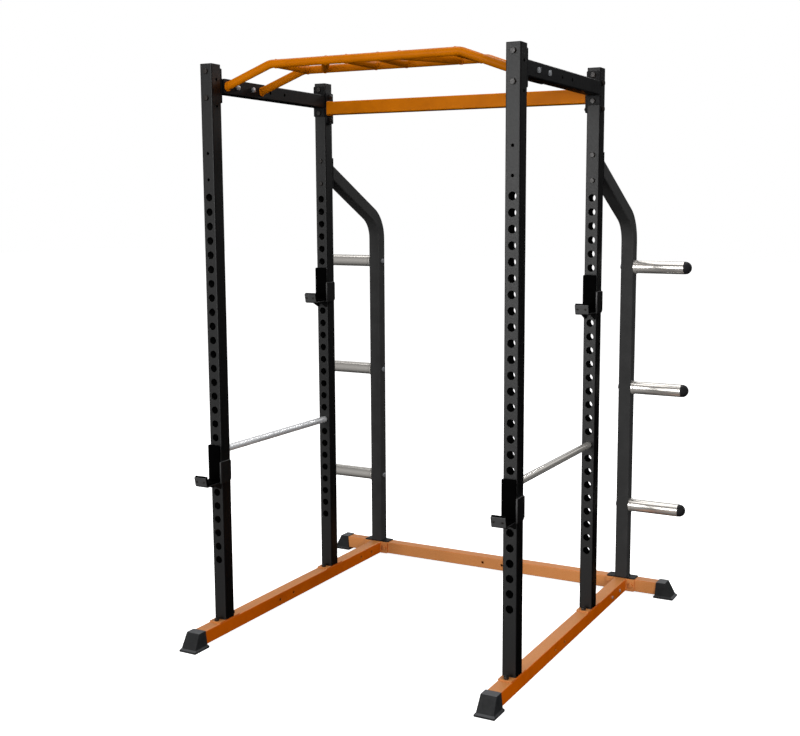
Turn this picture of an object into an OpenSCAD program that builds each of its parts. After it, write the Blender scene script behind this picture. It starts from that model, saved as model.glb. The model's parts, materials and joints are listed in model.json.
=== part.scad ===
// Power cage: four drilled uprights on two base rails, a rear base beam that
// also carries two plate storage posts, a multi-grip pull-up bar, four bar
// hooks and two safety rods. All sizes in millimetres.
// X runs to the cage's right, Y to the back, Z up; the origin is on the floor
// at the middle of the overall footprint.

/* [Overall] */
// distance between the upright centres, left to right
cage_w = 1150; // [900:10:1400]
// distance between the upright centres, front to back
cage_d = 707; // [550:1:1000]
// length of one upright
upright_l = 1976; // [1900:1:2400]
// front upright centre to the front end of the base rail tube
front_reach = 172; // [120:1:300]
// rear upright centre to the middle of the rear base beam
rear_reach = 413.5; // [300:0.5:600]
// end of the rear base beam beyond the middle of each upright
beam_over = 178; // [150:1:300]

/* [Tube stock] */
// outside width of every square tube
tube = 50; // [45:1:60]
// wall of every square tube
tube_wall = 2.5; // [2:0.5:4]
// outside corner radius of the square tube
tube_r = 4; // [3:0.5:6]

/* [Upright holes] */
// diameter of the large holes
hole_d = 27; // [20:0.5:32]
// distance from one large hole to the next
hole_pitch = 50; // [40:1:100]
// how many large holes run down an upright
hole_count = 27; // [10:1:32]
// top of the upright to the first large hole
first_hole = 453; // [440:1:600]
// top of the upright to the upper bolt of the top tube
top_pair = 24; // [20:1:40]
// top of the upright to the upper bolt of the storage post
post_pair = 302; // [200:1:350]
// top of the upright to the upper bolt of the rear top beam
beam_pair = 50; // [45:1:60]

/* [Joint plates and bolts] */
// side of a tube to the middle of a bolt of its joint plate
bolt_out = 20; // [18:1:30]
// middle of that bolt to the end of the plate
plate_end = 14; // [12:1:20]
// thickness of the joint plates
plate_t = 6; // [4:0.5:10]
// thickness of the plates that lie on the base tubes
base_plate_t = 4; // [3:0.5:8]
// bolt diameter
bolt_d = 10; // [8:1:12]
// play of a bolt in its hole, across
bolt_play = 1; // [0.5:0.5:2]
// width across the flats of heads and nuts
bolt_af = 17; // [13:1:19]
// height of a bolt head
head_h = 6.4; // [5:0.2:8]
// height of a nut
nut_h = 8; // [6:0.5:10]

/* [Pull-up bar] */
// outside diameter of the pull-up tubes
grip_d = 28; // [25:0.5:34]
// height of the level part above the top of the side tubes
grip_rise = 41; // [25:1:80]
// centre to the bend
grip_bend_x = 361; // [250:1:450]
// bend radius of the pull-up tubes
grip_bend_r = 70; // [50:5:120]
// distance between front and rear tube
grip_gap = 201; // [150:1:240]
// front bolt pair of the side tubes, from the middle of the cage forwards
grip_forward = 200; // [190:1:205]
// centre to the inner straight grips
inner_grip_x = 60; // [40:1:80]
// centre to the outer straight grips
outer_grip_x = 340; // [300:1:345]
// front and rear ends of the slanting grips, from the centre
slant_front_x = 137; // [120:1:160]
slant_rear_x = 270; // [230:1:290]

/* [Plate storage] */
// slope of the post's arm below level, in degrees
arm_slope = 27.6; // [15:0.1:45]
// bend radius of the post, to its centre line
post_bend_r = 120; // [90:5:180]
// height of the top peg
peg_top_z = 1322; // [1100:1:1400]
// distance from one peg to the next
peg_pitch = 480; // [300:1:480]
// peg diameter
peg_d = 49.5; // [28:0.5:50]
// length of the chrome sleeve
peg_l = 199; // [120:1:300]
// length of the domed cap beyond the sleeve
peg_cap_l = 28; // [26:1:45]

/* [Hooks and rods] */
// large hole, counted from the top, that carries a front hook
front_hook_hole = 19; // [12:1:21]
// large hole, counted from the top, that carries a rear hook
rear_hook_hole = 7; // [4:1:10]
// height of the hook above its pin
hook_up = 25; // [20:1:30]
// pin down to the underside of the tray
hook_down = 113; // [90:1:130]
// depth of the tray from the upright to the foot of the lip
tray_l = 86.5; // [70:0.5:110]
// height of the lip above the underside of the tray
lip_h = 35; // [25:1:50]
// steel thickness of the hook
hook_t = 5; // [4:0.5:8]
// thickness of the plastic lining
liner_t = 8; // [4:0.5:12]
// play of pins and safety rods in the large holes, across
rod_play = 2; // [0.5:0.5:4]

/* [Feet] */
// rubber under the base tubes
sole = 10; // [6:1:20]
// length of a foot on the floor
foot_l = 80; // [70:1:110]
// width of a foot on the floor
foot_w = 72; // [60:1:90]

/* [Hidden] */
$fn = 48;

eps = 0.01;
half = tube / 2;
bolt_gap = tube + 2 * bolt_out;
plate_l = bolt_gap + 2 * plate_end;
bolt_hole = bolt_d + bolt_play;
rod_d = hole_d - rod_play;
beam_l = cage_w + 2 * beam_over;
fit = 0.05;             // running and threaded fits, each side
gap = 0.3;              // between pieces that move past each other
weld_gap = 0.2;         // between a grip and the tube it is welded to
ux = cage_w / 2;
uy = cage_d / 2;
rail_z = sole + half;                       // centre height of the base tubes
rail_top = sole + tube;
up_z = rail_top + base_plate_t;
up_top = up_z + upright_l;
rail_y0 = -uy - front_reach;
beam_y = uy + rear_reach;
rail_y1 = beam_y - half - plate_t;
foot_in = foot_l - 42;                      // tube depth inside a foot
foot_front = rail_y0 + foot_in - foot_l;
foot_back = beam_y + foot_w / 2;
y_mid = (foot_front + foot_back) / 2;
top_z = up_top - top_pair - bolt_gap / 2;   // centre height of the side tubes
beam_top_z = up_top - beam_pair - bolt_gap / 2;
post_z = up_top - post_pair - bolt_gap / 2;
grip_z = top_z + half + grip_rise;
hook_reach = gap + hook_t + liner_t;
spare_y = 7;            // middle of the spare bolt pairs
rear_spare_y = beam_y - 154;
cap_t = 2.5;
leg_y = [-1, 1];

// ---------- small shapes ----------
module rounded_square(s, r) {
  square([s - 2 * r, s], center = true);
  square([s, s - 2 * r], center = true);
  for (a = [-1, 1], b = [-1, 1])
    translate([a * (s / 2 - r), b * (s / 2 - r)]) circle(r = r);
}
module tube_section() {
  difference() {
    rounded_square(tube, tube_r);
    rounded_square(tube - 2 * tube_wall, tube_r - tube_wall);
  }
}
module box(x0, x1, y0, y1, z0, z1) {
  translate([x0, y0, z0]) cube([x1 - x0, y1 - y0, z1 - z0]);
}
// a rod along Y, X or Z, centred on its middle
module rod_y(p, d, l) {
  translate(p) rotate([90, 0, 0]) cylinder(d = d, h = l, center = true);
}
module rod_x(p, d, l) {
  translate(p) rotate([0, 90, 0]) cylinder(d = d, h = l, center = true);
}
module rod_z(p, d, l) {
  translate(p) cylinder(d = d, h = l, center = true);
}
// the head's underside sits at p, the shank points along the turned Z axis
module bolt(p, turn, l, d = bolt_d, af = bolt_af, h = head_h) {
  translate(p) rotate(turn) {
    cylinder(d = d, h = l);
    translate([0, 0, -h]) cylinder(d = af / cos(30), h = h, $fn = 6);
  }
}
module nut(p, turn) {
  translate(p) rotate(turn) difference() {
    cylinder(d = bolt_af / cos(30), h = nut_h, $fn = 6);
    translate([0, 0, -1]) cylinder(d = bolt_d + 2 * fit, h = nut_h + 2);
  }
}
to_back = [-90, 0, 0];
to_right = [0, 90, 0];
to_left = [0, -90, 0];
up = [0, 0, 0];

// a joint plate with two holes: long along Z, facing Y
module plate_facing_y(x, y0, z, t) {
  difference() {
    box(x - half, x + half, y0, y0 + t, z - plate_l / 2, z + plate_l / 2);
    for (s = [-1, 1]) rod_y([x, y0 + t / 2, z + s * bolt_gap / 2], bolt_hole, 3 * t);
  }
}

// ---------- base ----------
module base_rail(side) {
  x = side * ux;
  color("#b4561a") difference() {
    translate([x, rail_y0, rail_z]) rotate([-90, 0, 0])
      linear_extrude(rail_y1 - rail_y0) tube_section();
    for (e = leg_y, s = [-1, 1])
      rod_z([x, e * uy + s * bolt_gap / 2, rail_z], bolt_hole, tube + 2);
    for (y = [spare_y, rear_spare_y], s = [-1, 1])
      rod_x([x, y + s * bolt_gap / 2, rail_z], bolt_hole, tube + 2);
  }
}
module left_base_rail() { base_rail(-1); }
module right_base_rail() { base_rail(1); }

base_screw_d = 8;
base_screw_x = half + 7;
module rear_base_beam() {
  color("#b4561a") difference() {
    translate([-beam_l / 2, beam_y, rail_z]) rotate([0, 90, 0])
      linear_extrude(beam_l) tube_section();
    for (side = [-1, 1], s = [-1, 1]) {
      rod_y([side * ux + s * bolt_gap / 2, beam_y, rail_z], bolt_hole, tube + 2);
      rod_z([side * ux + s * base_screw_x, beam_y, rail_z], base_screw_d + bolt_play, tube + 2);
    }
    for (s = [-1, 1]) rod_y([s * bolt_gap / 2, beam_y, rail_z], bolt_hole, tube + 2);
  }
}
module rail_rear_flanges() {
  color("#b4561a") for (side = [-1, 1]) difference() {
    box(side * ux - plate_l / 2, side * ux + plate_l / 2,
        rail_y1, rail_y1 + plate_t, sole, rail_top);
    for (s = [-1, 1])
      rod_y([side * ux + s * bolt_gap / 2, rail_y1, rail_z], bolt_hole, 4 * plate_t);
  }
}
module upright_foot_plates() {
  color("#c46a2c") for (side = [-1, 1], e = leg_y) difference() {
    box(side * ux - half, side * ux + half,
        e * uy - plate_l / 2, e * uy + plate_l / 2, rail_top, up_z);
    for (s = [-1, 1])
      rod_z([side * ux, e * uy + s * bolt_gap / 2, rail_top], bolt_hole, 30);
  }
}

// ---------- uprights ----------
module upright(side, e) {
  x = side * ux;
  y = e * uy;
  color("#3c3c3c") difference() {
    translate([x, y, up_z]) linear_extrude(upright_l) tube_section();
    for (i = [0 : hole_count - 1])
      rod_y([x, y, up_top - first_hole - i * hole_pitch], hole_d, tube + 2);
    for (t = [top_pair, post_pair], s = [0, 1])
      rod_y([x, y, up_top - t - s * bolt_gap], bolt_hole, tube + 2);
    for (s = [0, 1])
      rod_x([x, y, up_top - beam_pair - s * bolt_gap], bolt_hole, tube + 2);
  }
}
module front_left_upright() { upright(-1, -1); }
module front_right_upright() { upright(1, -1); }
module rear_left_upright() { upright(-1, 1); }
module rear_right_upright() { upright(1, 1); }
module upright_top_caps() {
  plug = tube - 2 * tube_wall - 2 * gap;
  color("#1c1c1c") for (side = [-1, 1], e = leg_y) translate([side * ux, e * uy, up_top]) {
    linear_extrude(cap_t) rounded_square(tube, tube_r);
    translate([0, 0, -8]) linear_extrude(8 + eps) rounded_square(plug, 1);
  }
}

// ---------- top frame ----------
top_y = uy - half - plate_t;
module top_tube(side) {
  x = side * ux;
  color("#2e2e2e") difference() {
    translate([x, -top_y, top_z]) rotate([-90, 0, 0])
      linear_extrude(2 * top_y) tube_section();
    for (y = [-grip_forward, spare_y], s = [-1, 1])
      rod_x([x, y + s * bolt_gap / 2, top_z], bolt_hole, tube + 2);
  }
}
module left_top_tube() { top_tube(-1); }
module right_top_tube() { top_tube(1); }
module top_tube_flanges() {
  color("#2e2e2e") for (side = [-1, 1]) {
    plate_facing_y(side * ux, -top_y - plate_t, top_z, plate_t);
    plate_facing_y(side * ux, top_y, top_z, plate_t);
  }
}
beam_half = ux - half - plate_t;
module rear_top_beam() {
  color("#cf6c00") translate([-beam_half, uy, beam_top_z]) rotate([0, 90, 0])
    linear_extrude(2 * beam_half) tube_section();
}
module rear_top_beam_flanges() {
  color("#2e2e2e") for (side = [-1, 1]) difference() {
    translate([side * (beam_half + plate_t / 2), uy, beam_top_z])
      cube([plate_t, tube, plate_l], center = true);
    for (s = [-1, 1])
      rod_x([side * beam_half, uy, beam_top_z + s * bolt_gap / 2], bolt_hole, 4 * plate_t);
  }
}

// ---------- pull-up bar ----------
grip_wall = 2.5;
grip_end_x = ux - half - plate_t;
grip_fall = grip_z - top_z;
grip_angle = atan(grip_fall / (grip_end_x - grip_bend_x));
grip_tangent = grip_bend_r * tan(grip_angle / 2);
module ring_section(d, w) {
  difference() {
    circle(d = d);
    circle(d = d - 2 * w);
  }
}
// a bent bar of diameter d: level part, a short piece round each bend, two legs
module grip_core(d) {
  level_l = grip_bend_x - grip_tangent;
  over = grip_d / 2 * tan(grip_angle / 4);
  bend_l = 2 * grip_bend_r * sin(grip_angle / 2);
  leg = (grip_end_x - grip_bend_x) / cos(grip_angle) - grip_tangent;
  rod_x([0, 0, 0], d, 2 * (level_l + over));
  for (s = [0, 1]) mirror([s, 0, 0]) translate([level_l, 0, 0]) {
    rotate([0, 90 + grip_angle / 2, 0]) translate([0, 0, -over])
      cylinder(d = d, h = bend_l + 2 * over);
    translate([grip_tangent, 0, 0]) rotate([0, 90 + grip_angle, 0])
      translate([0, 0, grip_tangent - over]) cylinder(d = d, h = leg + 20);
  }
}
module grip_tube(y) {
  color("#e08a00") translate([0, y, grip_z]) intersection() {
    difference() {
      grip_core(grip_d);
      grip_core(grip_d - 2 * grip_wall);
    }
    box(-grip_end_x, grip_end_x, -50, 50, -200, 100);
  }
}
grip_y0 = -grip_forward - grip_gap / 2;
grip_y1 = -grip_forward + grip_gap / 2;
module pull_up_front_tube() { grip_tube(grip_y0); }
module pull_up_rear_tube() { grip_tube(grip_y1); }
// what the bent bar takes off a grip, with the gap for the weld
module grip_cope() {
  d = grip_d + 2 * weld_gap;
  level_l = grip_bend_x - grip_tangent;
  rod_x([0, 0, 0], d, 2 * (level_l + 40));
  for (s = [0, 1]) mirror([s, 0, 0]) translate([level_l, 0, 0])
    rotate([0, 90 + grip_angle / 2, 0]) translate([0, 0, -grip_d / 2])
      cylinder(d = d, h = grip_bend_r);
}
module grip_between(xa, xb) {
  run = sqrt(pow(xb - xa, 2) + pow(grip_gap, 2));
  difference() {
    translate([xa, grip_y0, grip_z]) rotate([0, 0, -atan((xb - xa) / grip_gap)])
      rotate([-90, 0, 0]) linear_extrude(run) ring_section(grip_d, grip_wall);
    for (y = [grip_y0, grip_y1]) translate([0, y, grip_z]) grip_cope();
  }
}
module pull_up_straight_grips() {
  color("#e08a00") for (x = [-outer_grip_x, -inner_grip_x, inner_grip_x, outer_grip_x])
    grip_between(x, x);
}
module pull_up_slant_grips() {
  color("#e08a00") for (s = [-1, 1]) grip_between(s * slant_front_x, s * slant_rear_x);
}
grip_plate_l = grip_gap + grip_d + 11;
module pull_up_mount_plates() {
  color("#2e2e2e") for (side = [-1, 1]) difference() {
    translate([side * (ux - half - plate_t / 2), -grip_forward, top_z])
      cube([plate_t, grip_plate_l, tube], center = true);
    for (s = [-1, 1])
      rod_x([side * (ux - half), -grip_forward + s * bolt_gap / 2, top_z],
            bolt_hole, 4 * plate_t);
  }
}

// ---------- plate storage ----------
arm_turn = 90 - arm_slope;
arm_y0 = uy + half + plate_t;
arm_end_z = post_z - (beam_y - arm_y0) * tan(arm_slope);
post_tangent = post_bend_r * tan(arm_turn / 2);
// arm, bend and vertical part of size s, drawn round the middle of the bend;
// the arm is a hair slimmer than the bend that it runs into
module post_core(s, r) {
  slim = 0.02;
  rotate([arm_turn, 0, 0]) translate([0, post_bend_r, -1])
    linear_extrude(beam_y - arm_y0) rounded_square(s - 2 * slim, r);
  rotate([90, 0, 90]) rotate_extrude(angle = arm_turn, $fn = 96)
    translate([post_bend_r, 0]) rounded_square(s, r);
  translate([0, post_bend_r, -ceil(up_top)]) linear_extrude(ceil(up_top))
    rounded_square(s, r);
}
module post_shape() {
  intersection() {
    translate([0, beam_y - post_bend_r, arm_end_z - post_tangent]) difference() {
      post_core(tube, tube_r);
      post_core(tube - 2 * tube_wall, tube_r - tube_wall);
    }
    // the arm is cut upright where it meets its flange
    box(-tube, tube, arm_y0, beam_y + tube, up_z, up_top);
  }
}
module storage_post(side) {
  color("#2e2e2e") difference() {
    translate([side * ux, 0, 0]) post_shape();
    for (i = [0 : 2])
      rod_x([side * ux, beam_y, peg_top_z - i * peg_pitch], peg_bolt_d + bolt_play, tube + 2);
  }
}
module left_storage_post() { storage_post(-1); }
module right_storage_post() { storage_post(1); }
module storage_post_flanges() {
  color("#2e2e2e") for (side = [-1, 1])
    plate_facing_y(side * ux, uy + half, post_z, plate_t);
}
module storage_post_base_plates() {
  color("#2e2e2e") for (side = [-1, 1]) difference() {
    box(side * ux - plate_l / 2, side * ux + plate_l / 2,
        beam_y - half, beam_y + half, rail_top, up_z);
    for (s = [-1, 1])
      rod_z([side * ux + s * base_screw_x, beam_y, rail_top],
            base_screw_d + 2 * fit, 2 * base_plate_t - 2);
  }
}
peg_bolt_d = 12;
peg_disc = 10;
peg_wall = 3;
collar_l = 10;
collar_d = peg_d + 5;
peg_seat_d = peg_d - 1;
cap_r = peg_d / 2 - 0.25;
module peg_set(side) {
  for (i = [0 : 2]) translate([side * (ux + half), beam_y, peg_top_z - i * peg_pitch])
    rotate(side > 0 ? to_right : to_left) children();
}
// the sleeve is turned down where it sits in its collar
module peg() {
  difference() {
    union() {
      cylinder(d = peg_seat_d, h = collar_l + 1);
      translate([0, 0, collar_l]) cylinder(d = peg_d, h = peg_l - collar_l);
    }
    translate([0, 0, peg_disc]) cylinder(d = peg_d - 2 * peg_wall, h = peg_l);
    translate([0, 0, -1]) cylinder(d = peg_bolt_d + 2 * fit, h = peg_disc + 2);
  }
}
module left_pegs() { color("#c9cbcc") peg_set(-1) peg(); }
module right_pegs() { color("#c9cbcc") peg_set(1) peg(); }
module peg_collars() {
  color("#b9bbbc") for (side = [-1, 1]) peg_set(side) difference() {
    cylinder(d = collar_d, h = collar_l);
    translate([0, 0, -1]) cylinder(d = peg_seat_d + 2 * fit, h = collar_l + 2);
  }
}
module peg_end_caps() {
  dome = cap_r - 0.5;
  color("#1c1c1c") for (side = [-1, 1]) peg_set(side) translate([0, 0, peg_l]) {
    rotate_extrude() {
      square([cap_r - dome, peg_cap_l]);
      square([cap_r, peg_cap_l - dome]);
      translate([cap_r - dome, peg_cap_l - dome]) intersection() {
        circle(r = dome);
        square(dome);
      }
    }
    translate([0, 0, -14]) cylinder(d = peg_d - 2 * peg_wall - 2 * fit, h = 14 + eps);
  }
}
module peg_bolts() {
  color("#b9bbbc") for (side = [-1, 1], i = [0 : 2])
    bolt([side * (ux - half), beam_y, peg_top_z - i * peg_pitch],
         side > 0 ? to_right : to_left, tube + peg_disc + 4, peg_bolt_d, 18, 7.5);
}

// ---------- feet ----------
// s runs outwards along the base tube, from the foot's inner edge
module foot_shape() {
  lip = 8;
  top = rail_top + 3;
  difference() {
    intersection() {
      rotate([90, 0, 90]) linear_extrude(foot_w, center = true)
        polygon([[0, 0], [foot_l, 0], [foot_l, lip], [foot_l - 35, top],
                 [9, top], [0, lip]]);
      rotate([90, 0, 0]) linear_extrude(2 * foot_l, center = true)
        polygon([[-foot_w / 2, 0], [foot_w / 2, 0], [foot_w / 2, lip],
                 [half + 2.5, top], [-half - 2.5, top], [-foot_w / 2, lip]]);
    }
    translate([0, foot_in / 2 - 1, rail_z])
      cube([tube + 2 * fit, foot_in + 2, tube + 2 * fit], center = true);
  }
}
module foot(x, y, turn) {
  color("#38393b") translate([x, y, 0]) rotate([0, 0, turn]) foot_shape();
}
module front_left_foot() { foot(-ux, rail_y0 + foot_in, 180); }
module front_right_foot() { foot(ux, rail_y0 + foot_in, 180); }
module rear_left_foot() { foot(-beam_l / 2 + foot_in, beam_y, 90); }
module rear_right_foot() { foot(beam_l / 2 - foot_in, beam_y, -90); }

// ---------- fasteners ----------
module top_tube_bolts() {
  clamp = tube + plate_t;
  color("#3a3532") for (side = [-1, 1], s = [-1, 1]) {
    z = top_z + s * bolt_gap / 2;
    bolt([side * ux, -uy - half, z], to_back, clamp + nut_h + 3);
    nut([side * ux, -uy + half + plate_t, z], to_back);
    bolt([side * ux, uy - half - plate_t, z], to_back, clamp + nut_h + 3);
    nut([side * ux, uy + half, z], to_back);
  }
}
module rear_top_beam_bolts() {
  color("#3a3532") for (side = [-1, 1], s = [-1, 1]) {
    z = beam_top_z + s * bolt_gap / 2;
    inward = side > 0 ? to_left : to_right;
    bolt([side * (ux + half), uy, z], inward, tube + plate_t + nut_h + 3);
    nut([side * beam_half, uy, z], inward);
  }
}
module storage_post_bolts() {
  color("#3a3532") for (side = [-1, 1], s = [-1, 1]) {
    z = post_z + s * bolt_gap / 2;
    bolt([side * ux, uy - half, z], to_back, tube + plate_t + nut_h + 3);
    nut([side * ux, uy + half + plate_t, z], to_back);
  }
}
module pull_up_bolts() {
  color("#b9bbbc") for (side = [-1, 1], s = [-1, 1]) {
    y = -grip_forward + s * bolt_gap / 2;
    inward = side > 0 ? to_left : to_right;
    bolt([side * (ux + half), y, top_z], inward, tube + plate_t + nut_h + 3);
    nut([side * grip_end_x, y, top_z], inward);
  }
}
module foot_plate_bolts() {
  color("#3a3532") for (side = [-1, 1], e = leg_y, s = [-1, 1])
    bolt([side * ux, e * uy + s * bolt_gap / 2, sole], up,
         tube + base_plate_t + nut_h + 3);
}
module foot_plate_nuts() {
  color("#8c8d8e") for (side = [-1, 1], e = leg_y, s = [-1, 1])
    nut([side * ux, e * uy + s * bolt_gap / 2, up_z], up);
}
module rail_flange_bolts() {
  color("#3a3532") for (side = [-1, 1], s = [-1, 1]) {
    x = side * ux + s * bolt_gap / 2;
    bolt([x, rail_y1, rail_z], to_back, tube + plate_t + nut_h + 3);
    nut([x, beam_y + half, rail_z], to_back);
  }
}
module post_base_screws() {
  color("#3a3532") for (side = [-1, 1], s = [-1, 1])
    bolt([side * ux + s * base_screw_x, beam_y, sole], up,
         tube + base_plate_t - 1.2, base_screw_d, 13, 5.3);
}

// ---------- hooks ----------
// drawn round the pin: u runs forwards from the upright's face, z up
lip_lean = 7.3;
lip_t = hook_t;
screw_up = 20;          // height of the lip's screws above the underside of the tray
lip_screw_d = 4;
tray_z = -hook_down;
neck_d = 14;
neck_head_d = 20;
neck_head_t = 2.4;
module hook_place(side, e, n) {
  z = up_top - first_hole - (n - 1) * hole_pitch;
  translate([side * ux, e * uy - half, z]) children();
}
// square to the outer face of the lip, Z pointing in
module at_lip(x) {
  u = tray_l + lip_lean * screw_up / lip_h;
  translate([x, -u, tray_z + screw_up])
    rotate([-90 + atan(lip_lean / lip_h), 0, 0]) children();
}
// a profile in (u, z), spread along X
module across(x0, x1) {
  translate([x0, 0, 0]) rotate([90, 0, 90]) linear_extrude(x1 - x0)
    mirror([1, 0]) children();
}
module hook_steel() {
  side_top = -34;
  side_low = tray_z - 2;
  side_back = -half - 20;
  color("#2b2b2b") difference() {
    union() {
      across(-half, half + gap + 0.2)
        polygon([[gap, hook_up], [gap + hook_t, hook_up], [gap + hook_t, tray_z + hook_t],
                 [tray_l - lip_t + 1, tray_z + hook_t],
                 [tray_l + lip_lean - lip_t, tray_z + lip_h + 1],
                 [tray_l + lip_lean, tray_z + lip_h], [tray_l, tray_z], [gap, tray_z]]);
      // side plate that stops the hook turning the other way
      across(half + gap, half + gap + 6)
        polygon([[side_back + 5, side_top], [hook_reach, side_top],
                 [hook_reach, side_low + 2], [side_back + 10, side_low + 2],
                 [side_back, side_low + 10], [side_back, side_top - 4]]);
      for (x = [-20, 16]) across(x, x + 4)
        polygon([[gap, tray_z + 1], [49, tray_z + 1], [49, tray_z], [gap, tray_z - 23.5]]);
    }
    rod_y([0, 0, 0], neck_d + 2 * fit, 60);
    for (x = [-15, 15]) at_lip(x) cylinder(d = lip_screw_d + bolt_play, h = 30, center = true);
  }
}
module hook_lining() {
  a = gap + hook_t;
  floor_z = tray_z + hook_t;
  color("#121212") difference() {
    across(-half, half)
      polygon([[a, hook_up], [a + liner_t, hook_up], [a + liner_t, floor_z + liner_t],
               [tray_l - lip_t - liner_t + 2.5, floor_z + liner_t],
               [tray_l + lip_lean - lip_t - liner_t + 0.5, tray_z + lip_h + 5],
               [tray_l + lip_lean - lip_t + 0.7, tray_z + lip_h + 5],
               [tray_l - lip_t + 0.9, floor_z + fit], [a, floor_z + fit]]);
    rod_y([0, -a - neck_head_t / 2 - 0.5, 0], neck_head_d + 1, neck_head_t + 2);
    for (x = [-15, 15]) at_lip(x) cylinder(d = lip_screw_d, h = 24, center = true);
  }
}
pin_l = 27;
module hook_pin() {
  chamfer = 3;
  color("#8c8d8e") rotate([90, 0, 0]) {
    translate([0, 0, -pin_l]) cylinder(d1 = rod_d - 2 * chamfer, d2 = rod_d, h = chamfer);
    translate([0, 0, -pin_l + chamfer]) cylinder(d = rod_d, h = pin_l - chamfer);
    translate([0, 0, -eps]) cylinder(d = neck_d, h = gap + hook_t + 0.3 + 2 * eps);
    translate([0, 0, gap + hook_t + 0.3]) cylinder(d = neck_head_d, h = neck_head_t);
  }
}
module hook_screws() {
  color("#3a3532") for (x = [-15, 15]) at_lip(x) {
    translate([0, 0, -fit]) cylinder(d = lip_screw_d - 2 * fit, h = 11);
    translate([0, 0, -2.2 - fit]) cylinder(d = 2 * lip_screw_d, h = 2.2);
  }
}
module front_left_hook() { hook_place(-1, -1, front_hook_hole) hook_steel(); }
module front_left_hook_liner() { hook_place(-1, -1, front_hook_hole) hook_lining(); }
module front_left_hook_pin() { hook_place(-1, -1, front_hook_hole) hook_pin(); }
module front_left_hook_screws() { hook_place(-1, -1, front_hook_hole) hook_screws(); }
module front_right_hook() { hook_place(1, -1, front_hook_hole) hook_steel(); }
module front_right_hook_liner() { hook_place(1, -1, front_hook_hole) hook_lining(); }
module front_right_hook_pin() { hook_place(1, -1, front_hook_hole) hook_pin(); }
module front_right_hook_screws() { hook_place(1, -1, front_hook_hole) hook_screws(); }
module rear_left_hook() { hook_place(-1, 1, rear_hook_hole) hook_steel(); }
module rear_left_hook_liner() { hook_place(-1, 1, rear_hook_hole) hook_lining(); }
module rear_left_hook_pin() { hook_place(-1, 1, rear_hook_hole) hook_pin(); }
module rear_left_hook_screws() { hook_place(-1, 1, rear_hook_hole) hook_screws(); }
module rear_right_hook() { hook_place(1, 1, rear_hook_hole) hook_steel(); }
module rear_right_hook_liner() { hook_place(1, 1, rear_hook_hole) hook_lining(); }
module rear_right_hook_pin() { hook_place(1, 1, rear_hook_hole) hook_pin(); }
module rear_right_hook_screws() { hook_place(1, 1, rear_hook_hole) hook_screws(); }

// ---------- safety rods ----------
rod_y0 = -uy - half + pin_l + 3.5;
rod_y1 = uy + half - 0.5;
module safety_rod(side) {
  c = 2;
  z = up_top - first_hole - (front_hook_hole - 1) * hole_pitch;
  color("#c9cbcc") translate([side * ux, rod_y0, z]) rotate([-90, 0, 0]) {
    cylinder(d1 = rod_d - 2 * c, d2 = rod_d, h = c);
    translate([0, 0, c]) cylinder(d = rod_d, h = rod_y1 - rod_y0 - 2 * c);
    translate([0, 0, rod_y1 - rod_y0 - c]) cylinder(d1 = rod_d, d2 = rod_d - 2 * c, h = c);
  }
}
module left_safety_rod() { safety_rod(-1); }
module right_safety_rod() { safety_rod(1); }

// ---------- drawing ----------
translate([0, -y_mid, 0]) {
  left_base_rail();
  right_base_rail();
  rear_base_beam();
  rail_rear_flanges();
  upright_foot_plates();
  front_left_upright();
  front_right_upright();
  rear_left_upright();
  rear_right_upright();
  upright_top_caps();
  left_top_tube();
  right_top_tube();
  top_tube_flanges();
  rear_top_beam();
  rear_top_beam_flanges();
  pull_up_front_tube();
  pull_up_rear_tube();
  pull_up_straight_grips();
  pull_up_slant_grips();
  pull_up_mount_plates();
  left_storage_post();
  right_storage_post();
  storage_post_flanges();
  storage_post_base_plates();
  left_pegs();
  right_pegs();
  peg_collars();
  peg_end_caps();
  peg_bolts();
  front_left_foot();
  front_right_foot();
  rear_left_foot();
  rear_right_foot();
  top_tube_bolts();
  rear_top_beam_bolts();
  storage_post_bolts();
  pull_up_bolts();
  foot_plate_bolts();
  foot_plate_nuts();
  rail_flange_bolts();
  post_base_screws();
  front_left_hook();
  front_left_hook_liner();
  front_left_hook_pin();
  front_left_hook_screws();
  front_right_hook();
  front_right_hook_liner();
  front_right_hook_pin();
  front_right_hook_screws();
  rear_left_hook();
  rear_left_hook_liner();
  rear_left_hook_pin();
  rear_left_hook_screws();
  rear_right_hook();
  rear_right_hook_liner();
  rear_right_hook_pin();
  rear_right_hook_screws();
  left_safety_rod();
  right_safety_rod();
}
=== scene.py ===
"""A power cage of square steel tube, with hooks, safety rods, plate storage and pull-up bar.

The tubes, pegs, rods and pins are the frame's own. Worked out here, in millimetres, are the
bent pull-up tubes, the joint plates, weld beads, fasteners, hooks with their linings, rubber
feet, caps and collars, and the finish of everything.
"""
import json
import math

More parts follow.
